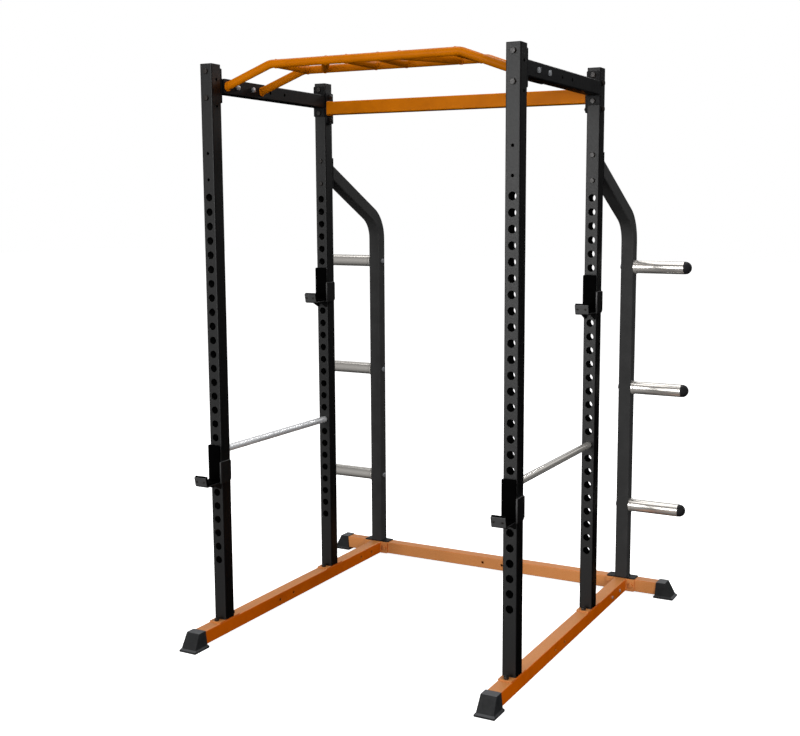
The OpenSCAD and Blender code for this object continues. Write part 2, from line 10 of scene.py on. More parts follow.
import bmesh
import bpy
import numpy as np
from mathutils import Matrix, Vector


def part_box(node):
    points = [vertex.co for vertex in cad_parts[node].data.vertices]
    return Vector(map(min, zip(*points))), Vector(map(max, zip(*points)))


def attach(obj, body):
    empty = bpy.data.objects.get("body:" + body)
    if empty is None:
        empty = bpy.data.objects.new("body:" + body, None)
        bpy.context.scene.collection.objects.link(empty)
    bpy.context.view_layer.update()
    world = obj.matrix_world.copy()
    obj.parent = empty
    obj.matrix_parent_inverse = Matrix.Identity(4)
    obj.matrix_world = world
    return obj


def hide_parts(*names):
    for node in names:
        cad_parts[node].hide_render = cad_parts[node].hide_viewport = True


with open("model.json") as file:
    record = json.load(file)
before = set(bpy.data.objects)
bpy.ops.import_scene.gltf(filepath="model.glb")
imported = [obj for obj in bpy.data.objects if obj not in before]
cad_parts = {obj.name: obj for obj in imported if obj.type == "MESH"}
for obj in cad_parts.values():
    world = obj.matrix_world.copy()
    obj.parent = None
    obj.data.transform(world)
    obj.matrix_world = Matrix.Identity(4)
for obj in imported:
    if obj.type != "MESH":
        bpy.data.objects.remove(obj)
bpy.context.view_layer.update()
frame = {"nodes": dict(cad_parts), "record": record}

TURN = 2 * math.pi
MAIN = "frame"                     # the body that stands still
X, Y, Z = np.eye(3)


# ---------- places, in millimetres ----------
def corners(node):
    """Lowest and highest corner of a node of the frame."""
    low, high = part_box(node)
    return np.array(low) * 1000, np.array(high) * 1000


def middle(node):
    low, high = corners(node)
    return (low + high) / 2


TUBE = 50.0
HALF = TUBE / 2
CORNER = 4.0                       # outside corner radius of the square tube
PLATE = 6.0
THIN_PLATE = 4.0
PLATE_L = 118.0
PAIR = 45.0                        # a bolt of a joint plate from the plate's middle
SPARE_BACK = 154                   # the rails' rear spare holes from the rear beam's middle
NUT_H = 8.0
HEAD_H = 6.4
FLATS = 17.0
STICK_OUT = 3.0                    # bolt end beyond its nut
side_x = middle("front_right_upright")[0]
front_y = middle("front_right_upright")[1]
rear_y = middle("rear_right_upright")[1]
beam_y = middle("rear_base_beam")[1]
rail_z = middle("rear_base_beam")[2]
rail_top = rail_z + HALF
rail_end = corners("left_base_rail")[1][1]
foot_z = corners("front_right_upright")[0][2]
upright_top = corners("front_right_upright")[1][2]
top_z = middle("left_top_tube")[2]
top_ends = corners("left_top_tube")[0][1], corners("left_top_tube")[1][1]
beam_top_z = middle("rear_top_beam")[2]
beam_top_end = corners("rear_top_beam")[1][0]
post_z = middle("storage_post_flanges")[2]
grip_front_y = middle("pull_up_front_tube")[1]
grip_rear_y = middle("pull_up_rear_tube")[1]
grip_mid_y = (grip_front_y + grip_rear_y) / 2
GRIP_R = 14.0
grip_z = corners("pull_up_front_tube")[1][2] - GRIP_R
grip_end = corners("pull_up_front_tube")[1][0]
SIDES = (-1, 1)
peg_z = [middle("right_pegs")[2] + step * 480 for step in (-1, 0, 1)]


# ---------- shapes ----------
def grid(points, close_rows=False, close_columns=True):
    """(points, faces) of a surface given as rows and columns of points; either way may close."""
    rows, columns = points.shape[:2]
    i = np.arange(rows if close_rows else rows - 1)[:, None]
    j = np.arange(columns if close_columns else columns - 1)[None, :]
    below, right = (i + 1) % rows, (j + 1) % columns
    faces = np.stack([i * columns + j, i * columns + right,
                      below * columns + right, below * columns + j], -1)
    return points.reshape(-1, 3), faces.reshape(-1, 4).tolist()


def piece(name, shells, slot, body=MAIN, replaces=(), sharp=38):
    """One object from closed shells of (points, faces): joined, poles closed, faces outwards."""
    points, faces, start = [], [], 0
    for shell_points, shell_faces in shells:
        points.append(shell_points)
        faces += [[start + k for k in face] for face in shell_faces]
        start += len(shell_points)
    mesh = bpy.data.meshes.new(name)
    mesh.from_pydata((np.concatenate(points) / 1000).tolist(), [], faces)
    shape = bmesh.new()
    shape.from_mesh(mesh)
    bmesh.ops.remove_doubles(shape, verts=shape.verts, dist=2e-6)
    bmesh.ops.dissolve_degenerate(shape, edges=shape.edges, dist=1e-6)
    bmesh.ops.recalc_face_normals(shape, faces=shape.faces)
    shape.to_mesh(mesh)
    shape.free()
    mesh.shade_smooth()
    mesh.set_sharp_from_angle(angle=math.radians(sharp))
    mesh.materials.append(FINISH[slot])
    made = bpy.data.objects.new(name, mesh)
    bpy.context.scene.collection.objects.link(made)
    # broad faces keep their own direction, so only the rims beside them look round
    made.modifiers.new("broad_faces_first", "WEIGHTED_NORMAL").keep_sharp = True
    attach(made, body)
    if replaces:
        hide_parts(*replaces)
    return made


def unit(v):
    return v / np.linalg.norm(v, axis=-1, keepdims=True)


def rounded(points, radii, steps=6):
    """A polygon whose corners are arcs.

    Each arc touches its two edges at radius / tan(half angle) from the corner."""
    points = np.array(points, float)
    radii = np.broadcast_to(np.array(radii, float), len(points))
    arcs = []
    for corner, before, after, radius in zip(points, np.roll(points, 1, 0),
                                             np.roll(points, -1, 0), radii):
        if radius <= 0:
            arcs.append(corner[None])
            continue
        a, b = unit(before - corner), unit(after - corner)
        half = math.acos(np.clip(a @ b, -1, 1)) / 2
        centre = corner + unit(a + b) * radius / math.sin(half)
        start, end = corner + a * radius / math.tan(half), corner + b * radius / math.tan(half)
        t = np.linspace(0, 1, steps + 1)[:, None]
        arcs.append(centre + radius * unit((start - centre) * (1 - t) + (end - centre) * t))
    outline = np.concatenate(arcs)
    after = np.roll(outline, -1, 0)
    area = np.sum(outline[:, 0] * after[:, 1] - outline[:, 1] * after[:, 0])
    return outline if area > 0 else outline[::-1]


def inset(outline, depth):
    """An outline moved inwards: every point goes along the bisector of its two edges."""
    a = unit(outline - np.roll(outline, 1, 0))
    b = unit(np.roll(outline, -1, 0) - outline)
    side = np.stack([-a[:, 1], a[:, 0]], 1)
    inwards = unit(side + np.stack([-b[:, 1], b[:, 0]], 1))
    reach = np.maximum((inwards * side).sum(1, keepdims=True), 0.4)
    return outline + depth * inwards / reach


def rim(start, end, radius, steps=4):
    """Rows of (height, inset) of a slab between two heights whose two edges are quarter rounds."""
    t = np.linspace(0, TURN / 4, steps)
    low = np.stack([start + radius * (1 - np.sin(t)), radius * (1 - np.cos(t))], 1)[::-1]
    high = np.stack([end - radius * (1 - np.sin(t)), radius * (1 - np.cos(t))], 1)
    return np.concatenate([low, high])


def slab(outline, rows, origin, across, up, along, crop=None):
    """An outline carried along a line: every row is the outline, inset, at its own height.

    across and up carry the outline's two sides, along its height; crop(height) is the highest
    value that the outline's second side may have there."""
    levels = []
    for height, depth in rows:
        flat = inset(outline, depth)
        if crop:
            flat = np.stack([flat[:, 0], np.minimum(flat[:, 1], crop(height))], 1)
        levels.append(origin + flat[:, :1] * across + flat[:, 1:] * up + height * along)
    points, faces = grid(np.stack(levels))
    count = len(outline)
    faces += [list(range(count))[::-1], list(range(len(points) - count, len(points)))]
    return points, faces


def square(half_x, half_y, radius, steps=6):
    return rounded([[-half_x, -half_y], [half_x, -half_y], [half_x, half_y], [-half_x, half_y]],
                   radius, steps)


def flat_plate(centre, half_across, half_up, thick, across, up, along, radius=4.0):
    """A sheared steel plate: rounded rectangle with a slightly dulled rim."""
    return slab(square(half_across, half_up, radius), rim(0, thick, 0.7), centre, across, up, along)


def hexagon(angle):
    """How much further than its flat a hexagon's side is at each angle."""
    return 1 / np.cos((angle + TURN / 12) % (TURN / 6) - TURN / 12)


def turned(rows, origin, axis, columns=36, close_rows=False, thread=None):
    """A turned shape: rows of (height, radius, flat), a ring each.

    A ring's radius is the smaller of its radius and a hexagon of that half width across the
    flats, 0 for none. thread is (first height, pitch, depth): past that height the radius
    loses a triangle wave of height over pitch less the turn, which is a helix."""
    rows = np.array([(r + (0,))[:3] for r in rows], float)
    angle = np.arange(columns) / columns * TURN
    helper = X if abs(axis[0]) < 0.9 else Y
    first = unit(np.cross(axis, helper))
    second = np.cross(axis, first)
    radius = np.repeat(rows[:, 1:2], columns, 1)
    flat = rows[:, 2:3] * hexagon(angle)[None, :]
    radius = np.where(rows[:, 2:3] > 0, np.minimum(radius, flat), radius)
    if thread:
        start, pitch, depth = thread
        phase = (rows[:, :1] / pitch - angle[None, :] / TURN) % 1
        cut = depth * np.abs(2 * phase - 1) * (rows[:, :1] > start) * (radius > 0)
        radius = np.maximum(radius - cut, 0)
    ring = np.cos(angle)[:, None] * first + np.sin(angle)[:, None] * second
    points = origin + rows[:, :1, None] * axis + radius[:, :, None] * ring[None]
    return grid(points, close_rows)


def hex_head(height, flats):
    """Rows of a hexagon head, top first: crown, 30 degree chamfer, flats, washer face."""
    a = flats / 2
    corner = a * 1.155
    return [(-height, 0, a), (-height, a * 0.93, a), (-height + 0.25, a * 0.97, a),
            (-height + 1.3, corner, a), (-0.9, corner, a), (-0.55, a * 1.05, a),
            (-0.5, a * 0.96, 0), (0, a * 0.96, 0)]


def hex_bolt(origin, axis, length, diameter=10.0, flats=FLATS, height=HEAD_H, pitch=1.5):
    """A hexagon bolt: head, plain shank, and thread on its last stretch up to a chamfered end."""
    r = diameter / 2
    start = length - 7.0
    helix = [(h, r) for h in np.arange(start, length - 0.8, pitch / 6)]
    rows = hex_head(height, flats) + [(0, r), (start - 0.1, r)] + helix
    rows += [(length - 0.7, r - 0.3), (length, r - 1.1), (length, 0)]
    return turned(rows, origin, axis, thread=(start, pitch, 0.6))


def hex_nut(origin, axis, height=NUT_H, flats=FLATS, bore=5.05):
    """A hexagon nut with both chamfers, as a ring whose profile closes on itself."""
    a = flats / 2
    corner = a * 1.155
    rows = [(0, bore + 0.5), (0, a * 0.95, a), (1.2, corner, a), (height - 1.2, corner, a),
            (height - 0.15, a * 0.97, a), (height, a * 0.92, a), (height, bore + 0.5),
            (height - 0.6, bore), (0.6, bore)]
    return turned(rows, origin, axis, close_rows=True)


def bead(path, radius=2.4, closed=True, ripple=3.2, out=None):
    """A weld bead along a path of points: a ring of 8 that swells once every ripple's length."""
    ahead = np.roll(path, -1, 0) - np.roll(path, 1, 0)
    if not closed:
        ahead[0], ahead[-1] = path[1] - path[0], path[-1] - path[-2]
    along = unit(ahead)
    step = np.linalg.norm(np.diff(path, axis=0), axis=1)
    length = np.concatenate([[0], np.cumsum(step)])
    total = length[-1] + (np.linalg.norm(path[0] - path[-1]) if closed else 0)
    waves = max(round(total / ripple), 1)
    swell = 1 + 0.13 * np.abs(np.sin(math.pi * waves * length / total))
    swell *= 1 + 0.05 * np.sin(TURN * length / 37.0)
    if not closed:
        swell *= np.sqrt(np.clip(np.minimum(length, total - length) / 3.0, 0, 1))
    first = unit(np.cross(along, (path - path.mean(0)) if out is None else out))
    second = np.cross(along, first)
    angle = np.arange(8) / 8 * TURN
    ring = (np.cos(angle)[None, :, None] * first[:, None] + np.sin(angle)[None, :, None]
            * second[:, None])
    return grid(path[:, None] + radius * swell[:, None, None] * ring, close_rows=closed)


def line(start, end, step=0.8):
    """Evenly spaced points from start to end."""
    start, end = np.array(start, float), np.array(end, float)
    t = np.linspace(0, 1, max(int(np.linalg.norm(end - start) / step), 2))[:, None]
    return start * (1 - t) + end * t


def seam(centre, out, across, half=HALF - 3, lift=0.6):
    """A straight weld on the side of a tube that its plate reaches past."""
    middle_point = np.array(centre) + lift * out
    return bead(line(middle_point - half * across, middle_point + half * across),
                closed=False, out=out)


# ---------- finishes ----------
def colour(code, alpha=1.0):
    """A linear colour from an sRGB hex code."""
    part = np.array([int(code[k:k + 2], 16) for k in (0, 2, 4)]) / 255
    part = np.where(part <= 0.04045, part / 12.92, ((part + 0.055) / 1.055) ** 2.4)
    return (*part.tolist(), alpha)


def add(tree, kind, links=None, **settings):
    """One node with its settings, and its inputs, each a value or another node's output."""
    node = tree.nodes.new("ShaderNode" + kind)
    for key, value in settings.items():
        setattr(node, key, value)
    for key, value in (links or {}).items():
        if isinstance(value, bpy.types.NodeSocket):
            tree.links.new(value, node.inputs[key])
        else:
            node.inputs[key].default_value = value
    return node


def per(size):
    """How often a pattern of that size in millimetres repeats in a metre."""
    return 1000 / size


def finish(name, **sockets):
    """A material with one surface shader; returns it with its tree, shader and place input."""
    material = bpy.data.materials.new(name)
    material.use_nodes = True
    tree = material.node_tree
    tree.nodes.clear()
    shader = add(tree, "BsdfPrincipled")
    for key, value in sockets.items():
        shader.inputs[key.replace("_", " ")].default_value = value
    output = add(tree, "OutputMaterial", {"Surface": shader.outputs[0]})
    place = add(tree, "TexCoord").outputs["Object"]
    return material, tree, shader, place


def noise(tree, place, size, detail=2.0, rough=0.5):
    return add(tree, "TexNoise", {"Vector": place, "Scale": per(size), "Detail": detail,
                                  "Roughness": rough}).outputs["Fac"]


def spread(tree, value, low, high, start=0.3, end=0.7):
    """A value between start and end spread from low to high."""
    return add(tree, "MapRange", {"Value": value, "From Min": start, "From Max": end,
                                  "To Min": low, "To Max": high}).outputs["Result"]


def blend_colours(tree, factor, first, second):
    node = add(tree, "Mix", data_type="RGBA")
    tree.links.new(factor, node.inputs[0])
    node.inputs[6].default_value, node.inputs[7].default_value = colour(first), colour(second)
    return node.outputs[2]


def relief(tree, shader, height, depth, strength=1.0, under=None):
    """Bumps of that depth in millimetres."""
    links = {"Height": height, "Distance": depth / 1000, "Strength": strength}
    if under:
        links["Normal"] = under
    bump = add(tree, "Bump", links)
    tree.links.new(bump.outputs[0], shader.inputs["Normal"])
    return bump.outputs[0]


def sheen_painted_by_facing(tree, place, base, pale, front=0.0, grain=0.0):
    """Painted sheen: a colour turns pale on faces that look up, and by the share front on
    those that look forwards, standing in for bright light from above and ahead. It follows
    the direction of the face, not the lamps; a grain size breaks it up into specks."""
    way = add(tree, "SeparateXYZ", {0: add(tree, "TexCoord").outputs["Normal"]})
    up = spread(tree, way.outputs[2], 0.0, 1.0, 0.6, 0.95)
    ahead = spread(tree, way.outputs[1], front, 0.0, -0.95, -0.6)
    share = add(tree, "Math", {0: up, 1: ahead}, operation="MAXIMUM").outputs[0]
    if grain:
        specks = spread(tree, noise(tree, place, grain, 1, 0.5), 0.55, 1.0, 0.35, 0.65)
        share = add(tree, "Math", {0: share, 1: specks}, operation="MULTIPLY").outputs[0]
    node = add(tree, "Mix", data_type="RGBA")
    tree.links.new(share, node.inputs[0])
    tree.links.new(base, node.inputs[6])
    node.inputs[7].default_value = colour(pale)
    return node.outputs[2]


def powder_coat(name, dark, light, gloss, grain=2.6, depth=0.05, shine=0.5, pale=None):
    """Baked powder coat over steel: one even colour that flows into a slight orange peel.

    The peel's waves are about 2.6 mm; cloudy patches of 60 mm turn the colour a little, and
    the roughness changes over 9 mm."""
    material, tree, shader, place = finish(name, IOR=1.5, Specular_IOR_Level=shine)
    base = blend_colours(tree, spread(tree, noise(tree, place, 60, 3), 0, 1), dark, light)
    # pale mixes in a painted sheen: paler on faces that look up, and forwards by its share
    if pale:
        base = sheen_painted_by_facing(tree, place, base, *pale)
    tree.links.new(base, shader.inputs["Base Color"])
    tree.links.new(spread(tree, noise(tree, place, 9, 2), gloss - 0.05, gloss + 0.06),
                   shader.inputs["Roughness"])
    relief(tree, shader, noise(tree, place, grain, 2, 0.6), depth)
    return material


def textured_coat(name, dark, light):
    """Wrinkle-textured charcoal powder coat: sandy grain that catches the light as pale specks.

    The real grain is about 0.5 mm; it is drawn at 3.2 mm, with the finer grain under it, so
    that the specks show from where a whole cage is seen."""
    material, tree, shader, place = finish(name, IOR=1.5, Specular_IOR_Level=0.5)
    grain = noise(tree, place, 3.2, 3, 0.65)
    fine = noise(tree, place, 1.1, 2, 0.6)
    tree.links.new(blend_colours(tree, spread(tree, grain, 0, 1, 0.38, 0.68), dark, light),
                   shader.inputs["Base Color"])
    tree.links.new(spread(tree, grain, 0.56, 0.40), shader.inputs["Roughness"])
    under = relief(tree, shader, fine, 0.12, 0.6)
    relief(tree, shader, grain, 0.3, 0.55, under)
    return material


def plated(name, tint, gloss, depth=0.01):
    """Metal plate over steel: a cloud 4 mm wide changes how sharp its reflections are."""
    material, tree, shader, place = finish(name, Metallic=0.7, Base_Color=colour(tint))
    tree.links.new(spread(tree, noise(tree, place, 4, 3), gloss, gloss + 0.09),
                   shader.inputs["Roughness"])
    relief(tree, shader, noise(tree, place, 12, 2), depth)
    return material


def knurled(name, tint, gloss, centre, pitch):
    """Chromed bar with a rolled diamond knurl: two screw-wise waves that cross.

    height = the product of two triangle waves, of length over pitch plus and less the angle
    round the bar. The real pitch is 1.6 mm; it is drawn coarser so that it glitters from
    where a whole cage is seen."""
    material, tree, shader, place = finish(name, Metallic=0.45, Base_Color=colour(tint))
    centred = add(tree, "VectorMath", {0: place, 1: tuple(-c / 1000 for c in centre)},
                  operation="ADD").outputs[0]
    part = add(tree, "SeparateXYZ", {0: centred})
    angle = add(tree, "Math", {0: part.outputs[2], 1: part.outputs[0]}, operation="ARCTAN2")
    turn = add(tree, "Math", {0: angle.outputs[0], 1: 6 / TURN}, operation="MULTIPLY").outputs[0]
    run = add(tree, "Math", {0: part.outputs[1], 1: per(pitch)}, operation="MULTIPLY").outputs[0]
    waves = []
    for way in ("ADD", "SUBTRACT"):
        helix = add(tree, "Math", {0: run, 1: turn}, operation=way).outputs[0]
        waves.append(add(tree, "Math", {0: helix, 1: 1.0}, operation="PINGPONG").outputs[0])
    height = add(tree, "Math", {0: waves[0], 1: waves[1]}, operation="MULTIPLY").outputs[0]
    grit = noise(tree, place, 5, 2)
    total = add(tree, "Math", {0: height, 1: grit}, operation="ADD").outputs[0]
    tree.links.new(spread(tree, grit, gloss, gloss + 0.12), shader.inputs["Roughness"])
    relief(tree, shader, total, 1.4, 0.8)
    return material


def moulded(name, dark, light, gloss, grain, depth, ior=1.5, shine=0.5, pale=None):
    """Moulded rubber or plastic: an even colour, dusty in patches of 25 mm, with a fine grain."""
    material, tree, shader, place = finish(name, IOR=ior, Specular_IOR_Level=shine)
    base = blend_colours(tree, spread(tree, noise(tree, place, 25, 4), 0, 1), dark, light)
    # pale mixes in a painted sheen: paler on faces that look up, and forwards by its share
    if pale:
        base = sheen_painted_by_facing(tree, place, base, *pale)
    tree.links.new(base, shader.inputs["Base Color"])
    tree.links.new(spread(tree, noise(tree, place, 7, 2), gloss - 0.05, gloss + 0.07),
                   shader.inputs["Roughness"])
    relief(tree, shader, noise(tree, place, grain, 2, 0.6), depth, 0.8)
    return material


FINISH = {
    # satin polyester powder coat, reddish orange, with a painted sheen: paler in specks on level
    # faces and faces that look forwards
    "orange_paint": powder_coat("satin_orange_powder_coat", "B85200", "C45A00", 0.42, shine=0.35,
                                pale=("D69254", 1.0, 2.4)),
    # the same coat, yellower and glossier, so the round tubes carry a clear highlight
    "yellow_paint": powder_coat("gloss_amber_powder_coat", "BE6800", "CA7000", 0.36, shine=0.05),
    # wrinkle coat: charcoal that sparkles faintly
    "textured_black_paint": textured_coat("textured_charcoal_powder_coat", "000000", "030303"),
    # satin black coat: smoother and evenly dark
    "black_paint": powder_coat("satin_black_powder_coat", "0E0E0F", "141415", 0.46, 2.2, 0.04,
                               shine=0.15),
    # thicker coat on the hooks' laser-cut steel: black, with a painted sheen that turns faces that
    # look up and forwards grey
    "hook_paint": powder_coat("black_powder_coat_with_painted_sheen", "050505", "0A0A0A", 0.48, 1.6, 0.05,
                              shine=0.6, pale=("3C3C3C", 1.0, 0.0)),
    # hard chrome: mirror-like with soft streaks
    "chrome_plate": plated("bright_chrome_plate", "D6D2CC", 0.15),
    # zinc: duller and faintly blue
    "zinc_plate": plated("bright_zinc_plate", "B9BCC0", 0.28),
    # oiled black oxide: brown-black, half metal, half oil
    "dark_bolt_steel": powder_coat("oiled_black_oxide_steel", "16120F", "221C18", 0.36, 1.2, 0.03),
    # natural rubber: dull dark grey with the mould's grain, and a painted sheen that makes faces
    # that look up paler
    "foot_rubber": moulded("moulded_dark_rubber", "1B1C1D", "242526", 0.62, 1.4, 0.05, 1.52, 0.25,
                           pale=("58595B", 0.0, 0.0)),
    # polypropylene caps: black with a soft shine
    "cap_plastic": moulded("moulded_black_plastic", "161617", "1E1E20", 0.5, 1.0, 0.03, 1.49, 0.2),
    # wear plastic: deep black, hardly any sheen
    "liner_plastic": moulded("black_wear_plastic", "000000", "020202", 0.6, 1.2, 0.03, 1.49, 0.02),
}
left_rod = middle("left_safety_rod")
OWN = {"left_safety_rod": knurled("knurled_chrome_plate", "E4E5E7", 0.12, left_rod, 9.0)}
# the storage posts wear a greyer, smoother coat than the frame
OWN["left_storage_post"] = OWN["right_storage_post"] = powder_coat(
    "smooth_charcoal_powder_coat", "313131", "373737", 0.5, 2.6, 0.03, shine=0.06)
for part in frame["record"]["subparts"]:
    node = frame["nodes"][part["node"]]
    material = OWN.get(part["node"], FINISH[part["material_slot"]])
    node.data.materials.clear()
    node.data.materials.append(material)


# ---------- pull-up bar ----------
BEND_X = 361.0                     # middle of the cage to the bend
BEND_R = 70.0
fall = math.atan((grip_z - top_z) / (grip_end - BEND_X))


def bent_tube(y):
    """A round tube along a path: level, an arc of radius BEND_R at each bend, a straight leg.

    Each ring stands square to the path; the last one slides along the leg until it lies in
    the plate's plane."""
    tangent = BEND_R * math.tan(fall / 2)
    turn = np.linspace(0, fall, 13)
    level_x = np.linspace(0, BEND_X - tangent, 9)[:-1]
    arc_x = BEND_X - tangent + BEND_R * np.sin(turn)
    arc_z = BEND_R * (np.cos(turn) - 1)
    leg = (grip_end - arc_x[-1]) * np.linspace(0, 1, 7)[1:]
    x = np.concatenate([level_x, arc_x, arc_x[-1] + leg])
    z = np.concatenate([level_x * 0, arc_z, arc_z[-1] - leg * math.tan(fall)])
    slope = np.concatenate([level_x * 0, turn, leg * 0 + fall])
    x, z, slope = (np.concatenate([sign * part[:0:-1], part])
                   for part, sign in ((x, -1), (z, 1), (slope, -1)))
    angle = np.arange(32) / 32 * TURN
    out = GRIP_R * np.sin(angle)
    points = np.stack([x[:, None] + out * np.sin(slope)[:, None],
                       y + GRIP_R * np.cos(angle) + 0 * x[:, None],
                       grip_z + z[:, None] + out * np.cos(slope)[:, None]], -1)
    for row, end in ((0, -grip_end), (-1, grip_end)):
        shift = end - points[row, :, 0]
        points[row, :, 2] -= shift * math.tan(slope[row])
        points[row, :, 0] = end
    lids = points[[0, -1]].mean(1, keepdims=True) + 0 * points[[0, -1]]
    return grid(np.concatenate([lids[:1], points, lids[1:]]))


def saddle(x, y, way, lean):
    """Where a grip meets the round tube: round the grip at angle a, its side lies
    sqrt(R^2 - (r sin a)^2) from the tube's middle."""
    a = np.linspace(0, TURN, 97)[:-1]
    reach = way * np.sqrt(np.maximum(GRIP_R ** 2 * 1.015 - (GRIP_R * np.sin(a)) ** 2, 4.0))
    side = GRIP_R * np.cos(a)
    slip = (reach + side * math.sin(lean)) / math.cos(lean)
    return np.stack([x + side * math.cos(lean) + slip * math.sin(lean), y + reach,
                     grip_z + GRIP_R * np.sin(a)], 1)


piece("pull_up_front_pipe", [bent_tube(grip_front_y)], "yellow_paint",
      replaces=["pull_up_front_tube"])
piece("pull_up_rear_pipe", [bent_tube(grip_rear_y)], "yellow_paint",
      replaces=["pull_up_rear_tube"])
seams = []
gap_y = grip_rear_y - grip_front_y
for front_x, back_x in [(x, x) for x in (-340, -60, 60, 340)] + [(-137, -270), (137, 270)]:
    lean = math.atan2(back_x - front_x, gap_y)
    seams.append(bead(saddle(front_x, grip_front_y, 1, lean), 1.9, ripple=2.8))
    seams.append(bead(saddle(back_x, grip_rear_y, -1, lean), 1.9, ripple=2.8))
for side in SIDES:
    for y in (grip_front_y, grip_rear_y):
        a = np.linspace(0, TURN, 121)[:-1]
        seams.append(bead(np.stack([side * (grip_end - 0.5) + 0 * a, y + GRIP_R * np.cos(a),
                                    top_z + GRIP_R / math.cos(fall) * np.sin(a)], 1), 2.0))
piece("pull_up_welds", seams, "yellow_paint")

# ---------- joint plates ----------
mount_low, mount_high = corners("pull_up_mount_plates")
piece("pull_up_end_plates",
      [flat_plate([side * (side_x - HALF - PLATE), grip_mid_y, top_z],
                  (mount_high[1] - mount_low[1]) / 2, HALF, PLATE, Y, Z, side * X)
       for side in SIDES], "black_paint", replaces=["pull_up_mount_plates"])
piece("top_tube_end_plates",
      [flat_plate([side * side_x, end, top_z], HALF, PLATE_L / 2, PLATE, X, Z, way * Y)
       for side in SIDES for end, way in zip(top_ends, SIDES)], "black_paint",
      replaces=["top_tube_flanges"])
piece("rear_beam_end_plates",
      [flat_plate([side * beam_top_end, rear_y, beam_top_z], HALF, PLATE_L / 2, PLATE, Y, Z,
                  side * X) for side in SIDES], "black_paint",
      replaces=["rear_top_beam_flanges"])
piece("post_top_plates",
      [flat_plate([side * side_x, rear_y + HALF, post_z], HALF, PLATE_L / 2, PLATE, X, Z, Y)
       for side in SIDES], "black_paint", replaces=["storage_post_flanges"])
piece("post_foot_plates",
      [flat_plate([side * side_x, beam_y, rail_top], PLATE_L / 2, HALF, THIN_PLATE, X, Y, Z)
       for side in SIDES], "black_paint", replaces=["storage_post_base_plates"])
piece("rail_end_plates",
      [flat_plate([side * side_x, rail_end, rail_z], PLATE_L / 2, HALF, PLATE, X, Z, Y)
       for side in SIDES], "orange_paint", replaces=["rail_rear_flanges"])
piece("upright_base_plates",
      [flat_plate([side * side_x, y, rail_top], HALF, PLATE_L / 2, THIN_PLATE, X, Y, Z)
       for side in SIDES for y in (front_y, rear_y)], "orange_paint",
      replaces=["upright_foot_plates"])

# ---------- welds of the square tubes ----------
black_seams, amber_seams, orange_seams, foot_seams = [], [], [], []
for side in SIDES:
    for up in SIDES:
        for end, way in zip(top_ends, SIDES):
            black_seams.append(seam([side * side_x, end - way * 0.8, top_z + up * HALF],
                                    up * Z, X))
        amber_seams.append(seam([side * (beam_top_end - 0.8), rear_y, beam_top_z + up * HALF],
                                up * Z, Y))
        black_seams.append(seam([side * side_x + up * HALF, beam_y, foot_z + 0.8], up * X, Y))
        orange_seams.append(seam([side * side_x + up * HALF, rail_end - 0.8, rail_z], up * X, Z))
        for y in (front_y, rear_y):
            foot_seams.append(seam([side * side_x, y + up * HALF, foot_z + 0.8], up * Y, X))
piece("black_tube_welds", black_seams, "black_paint")
piece("rear_beam_welds", amber_seams, "yellow_paint")
piece("orange_tube_welds", orange_seams, "orange_paint")
piece("upright_foot_welds", foot_seams, "textured_black_paint")

# ---------- fasteners ----------
through = TUBE + PLATE + NUT_H + STICK_OUT
shells = []
for side in SIDES:
    for up in SIDES:
        z = top_z + up * PAIR
        shells += [hex_bolt([side * side_x, front_y - HALF, z], Y, through),
                   hex_nut([side * side_x, front_y + HALF + PLATE, z], Y),
                   hex_bolt([side * side_x, rear_y - HALF - PLATE, z], Y, through),
                   hex_nut([side * side_x, rear_y + HALF, z], Y)]
piece("top_tube_fasteners", shells, "dark_bolt_steel", replaces=["top_tube_bolts"])
shells = []
for side in SIDES:
    for up in SIDES:
        z = beam_top_z + up * PAIR
        shells += [hex_bolt([side * (side_x + HALF), rear_y, z], -side * X, through),
                   hex_nut([side * beam_top_end, rear_y, z], -side * X)]
piece("rear_beam_fasteners", shells, "dark_bolt_steel", replaces=["rear_top_beam_bolts"])
shells = []
for side in SIDES:
    for up in SIDES:
        z = post_z + up * PAIR
        shells += [hex_bolt([side * side_x, rear_y - HALF, z], Y, through),
                   hex_nut([side * side_x, rear_y + HALF + PLATE, z], Y)]
piece("post_fasteners", shells, "dark_bolt_steel", replaces=["storage_post_bolts"])
shells = []
for side in SIDES:
    for way in SIDES:
        y = grip_mid_y + way * PAIR
        shells += [hex_bolt([side * (side_x + HALF), y, top_z], -side * X, through),
                   hex_nut([side * grip_end, y, top_z], -side * X)]
piece("pull_up_fasteners", shells, "zinc_plate", replaces=["pull_up_bolts"])
shells, nuts = [], []
for side in SIDES:
    for foot in (front_y, rear_y):
        for way in SIDES:
            y = foot + way * PAIR
            shells.append(hex_bolt([side * side_x, y, rail_z - HALF], Z,
                                   TUBE + THIN_PLATE + NUT_H + STICK_OUT))
            nuts.append(hex_nut([side * side_x, y, foot_z], Z))
piece("upright_foot_bolts", shells, "dark_bolt_steel", replaces=["foot_plate_bolts"])
piece("upright_foot_nuts", nuts, "dark_bolt_steel", replaces=["foot_plate_nuts"])
shells = []
for side in SIDES:
    for way in SIDES:
        x = side * side_x + way * PAIR
        shells += [hex_bolt([x, rail_end, rail_z], Y, through),
                   hex_nut([x, beam_y + HALF, rail_z], Y)]
studs = [turned([(0, 0), (0, 6.5), (2.5, 6.5), (4, 4.5), (4.5, 0)],
                [side_x + HALF + 0.1, beam_y - SPARE_BACK + way * PAIR, rail_z], X)
         for way in SIDES]
piece("right_rail_side_studs", studs, "chrome_plate")
piece("rail_end_fasteners", shells, "orange_paint", replaces=["rail_flange_bolts"])
